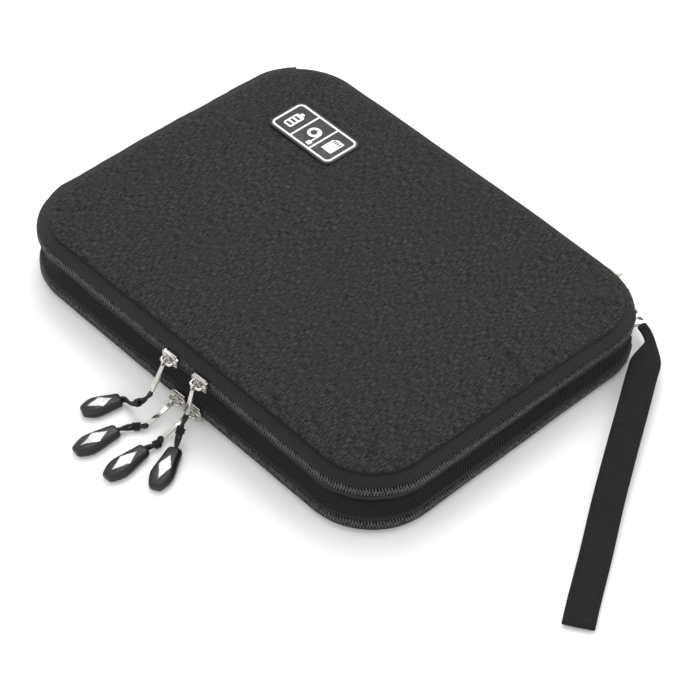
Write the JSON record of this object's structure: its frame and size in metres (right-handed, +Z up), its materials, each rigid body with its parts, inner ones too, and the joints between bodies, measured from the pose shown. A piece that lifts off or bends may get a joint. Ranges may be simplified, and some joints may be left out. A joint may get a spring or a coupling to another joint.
{
  "type": "cable organizer pouch",
  "caption": "Flat two-layer zip pouch for cables: fabric covers, a middle tray between two zips, toggled pulls, a rubber label, and a wrist strap on a clasp and ring.",
  "frame": {"origin": "middle of the base, on the surface that the pouch lies on", "axes": "+X along the long side, -Y towards the sliders, +Y towards the spine, +Z up"},
  "size_m": [0.3293, 0.2525, 0.0361],
  "materials": {
    "cover_fabric": "melange oxford cloth, dark charcoal",
    "gusset_fabric": "fine ribbed nylon, darker charcoal",
    "lining_fabric": "smooth polyester lining",
    "pocket_mesh": "open knitted mesh",
    "zip_coil": "black nylon coil",
    "zip_tape": "woven zip tape",
    "nickel": "bright nickel plate",
    "toggle_plastic": "satin black moulding with a gloss facet",
    "pull_cord": "twisted black cord",
    "strap_webbing": "black stitched webbing",
    "elastic": "ribbed elastic",
    "label_rubber": "soft black rubber",
    "label_white": "raised white rubber"
  },
  "bodies": {
    "bottom_cover": {"bottom_panel": "cover_fabric", "bottom_gusset": "gusset_fabric", "lower_coil_cover": "zip_coil", "lower_tape_cover": "zip_tape", "bottom_spine_strip": "gusset_fabric", "bottom_lining": "lining_fabric", "bottom_mesh_pocket": "pocket_mesh", "bottom_pocket_hem": "elastic"},
    "middle_tray": {"divider_board": "lining_fabric", "lower_coil_tray": "zip_coil", "lower_tape_tray": "zip_tape", "lower_waist_gusset": "gusset_fabric", "upper_waist_gusset": "gusset_fabric", "upper_coil_tray": "zip_coil", "upper_tape_tray": "zip_tape", "spine_panel": "cover_fabric", "elastic_band_left": "elastic", "elastic_band_middle": "elastic", "elastic_band_right": "elastic", "tablet_pocket": "pocket_mesh", "ring_tab": "strap_webbing"},
    "lid": {"top_panel": "cover_fabric", "top_gusset": "gusset_fabric", "upper_coil_lid": "zip_coil", "upper_tape_lid": "zip_tape", "lid_spine_strip": "gusset_fabric", "lid_lining": "lining_fabric", "lid_mesh_pocket": "pocket_mesh", "pocket_zip": "zip_coil", "label_patch": "label_rubber", "label_border": "label_white"},
    "pocket_slider": {"pocket_slider": "nickel", "pocket_pull": "nickel"},
    "slider_upper_left": {"slider_upper_left": "nickel"},
    "pull_tab_upper_left": {"pull_tab_upper_left": "nickel"},
    "toggle_upper_left": {"pull_cord_upper_left": "pull_cord", "toggle_upper_left": "toggle_plastic"},
    "slider_lower_left": {"slider_lower_left": "nickel"},
    "pull_tab_lower_left": {"pull_tab_lower_left": "nickel"},
    "toggle_lower_left": {"pull_cord_lower_left": "pull_cord", "toggle_lower_left": "toggle_plastic"},
    "slider_lower_right": {"slider_lower_right": "nickel"},
    "pull_tab_lower_right": {"pull_tab_lower_right": "nickel"},
    "toggle_lower_right": {"pull_cord_lower_right": "pull_cord", "toggle_lower_right": "toggle_plastic"},
    "slider_upper_right": {"slider_upper_right": "nickel"},
    "pull_tab_upper_right": {"pull_tab_upper_right": "nickel"},
    "toggle_upper_right": {"pull_cord_upper_right": "pull_cord", "toggle_upper_right": "toggle_plastic"},
    "d_ring": {"d_ring": "nickel"},
    "clasp": {"clasp_body": "nickel"},
    "clasp_gate": {"clasp_gate": "nickel"},
    "swivel_eye": {"swivel_eye": "nickel"},
    "wrist_strap": {"wrist_strap": "strap_webbing"}
  },
  "joints": [
    {"name": "compartment_hinge", "type": "hinge", "parent": "bottom_cover", "child": "middle_tray", "pos_m": [0, 0.092, 0.0049], "axis": [-1, 0, 0], "range_deg": [0, 100]},
    {"name": "lid_hinge", "type": "hinge", "parent": "middle_tray", "child": "lid", "pos_m": [0, 0.092, 0.023], "axis": [-1, 0, 0], "range_deg": [0, 175]},
    {"name": "pocket_slide", "type": "slide", "parent": "lid", "child": "pocket_slider", "axis": [1, 0, 0], "range_m": [-0.15, 0]},
    {"name": "slide_upper_left", "type": "slide", "parent": "middle_tray", "child": "slider_upper_left", "axis": [1, 0, 0], "range_m": [-0.07, 0]},
    {"name": "tab_upper_left", "type": "hinge", "parent": "slider_upper_left", "child": "pull_tab_upper_left", "pos_m": [-0.003, -0.09745, 0.028], "axis": [-1, 0, 0], "range_deg": [0, 80]},
    {"name": "cord_upper_left", "type": "hinge", "parent": "pull_tab_upper_left", "child": "toggle_upper_left", "pos_m": [-0.003, -0.1054, 0.01528], "axis": [-1, 0, 0], "range_deg": [0, 40]},
    {"name": "slide_lower_left", "type": "slide", "parent": "bottom_cover", "child": "slider_lower_left", "axis": [1, 0, 0], "range_m": [-0.07, 0], "deforming": ["pull_cord_upper_left", "toggle_upper_left"]},
    {"name": "tab_lower_left", "type": "hinge", "parent": "slider_lower_left", "child": "pull_tab_lower_left", "pos_m": [0.0015, -0.09745, 0.006], "axis": [-1, 0, 0], "range_deg": [0, 50]},
    {"name": "cord_lower_left", "type": "hinge", "parent": "pull_tab_lower_left", "child": "toggle_lower_left", "pos_m": [0.0015, -0.112, 0.00237], "axis": [-1, 0, 0], "range_deg": [0, 60]},
    {"name": "slide_lower_right", "type": "slide", "parent": "bottom_cover", "child": "slider_lower_right", "axis": [1, 0, 0], "range_m": [0, 0.062], "deforming": ["pull_cord_upper_right", "toggle_upper_right"]},
    {"name": "tab_lower_right", "type": "hinge", "parent": "slider_lower_right", "child": "pull_tab_lower_right", "pos_m": [0.0116, -0.09745, 0.006], "axis": [-1, 0, 0], "range_deg": [0, 50]},
    {"name": "cord_lower_right", "type": "hinge", "parent": "pull_tab_lower_right", "child": "toggle_lower_right", "pos_m": [0.0116, -0.112, 0.00237], "axis": [-1, 0, 0], "range_deg": [0, 60]},
    {"name": "slide_upper_right", "type": "slide", "parent": "middle_tray", "child": "slider_upper_right", "axis": [1, 0, 0], "range_m": [0, 0.062]},
    {"name": "tab_upper_right", "type": "hinge", "parent": "slider_upper_right", "child": "pull_tab_upper_right", "pos_m": [0.0163, -0.09745, 0.028], "axis": [-1, 0, 0], "range_deg": [0, 80]},
    {"name": "cord_upper_right", "type": "hinge", "parent": "pull_tab_upper_right", "child": "toggle_upper_right", "pos_m": [0.0163, -0.10209, 0.01373], "axis": [-1, 0, 0], "range_deg": [0, 40]},
    {"name": "ring_swing", "type": "hinge", "parent": "middle_tray", "child": "d_ring", "pos_m": [0.078, 0.0957, 0.0125], "axis": [-1, 0, 0], "range_deg": [0, 14]},
    {"name": "clasp_swing", "type": "hinge", "parent": "d_ring", "child": "clasp", "pos_m": [0.0856, 0.1008, 0.0082], "axis": [-0.4848, -0.8746, 0], "range_deg": [0, 35]},
    {"name": "gate_press", "type": "hinge", "parent": "clasp", "child": "clasp_gate", "pos_m": [0.0919, 0.09731, 0.0043], "axis": [-0.4848, -0.8746, 0], "range_deg": [-22, 0], "stiffness_Nm_per_rad": 0.01},
    {"name": "clasp_swivel", "type": "hinge", "parent": "clasp", "child": "swivel_eye", "pos_m": [0.10134, 0.09207, 0.0082], "axis": [0.8746, -0.4848, 0], "continuous": true},
    {"name": "strap_lift", "type": "hinge", "parent": "swivel_eye", "child": "wrist_strap", "pos_m": [0.10852, 0.0881, 0.0082], "axis": [0.4848, 0.8746, 0], "range_deg": [-12, 0]}
  ]
}
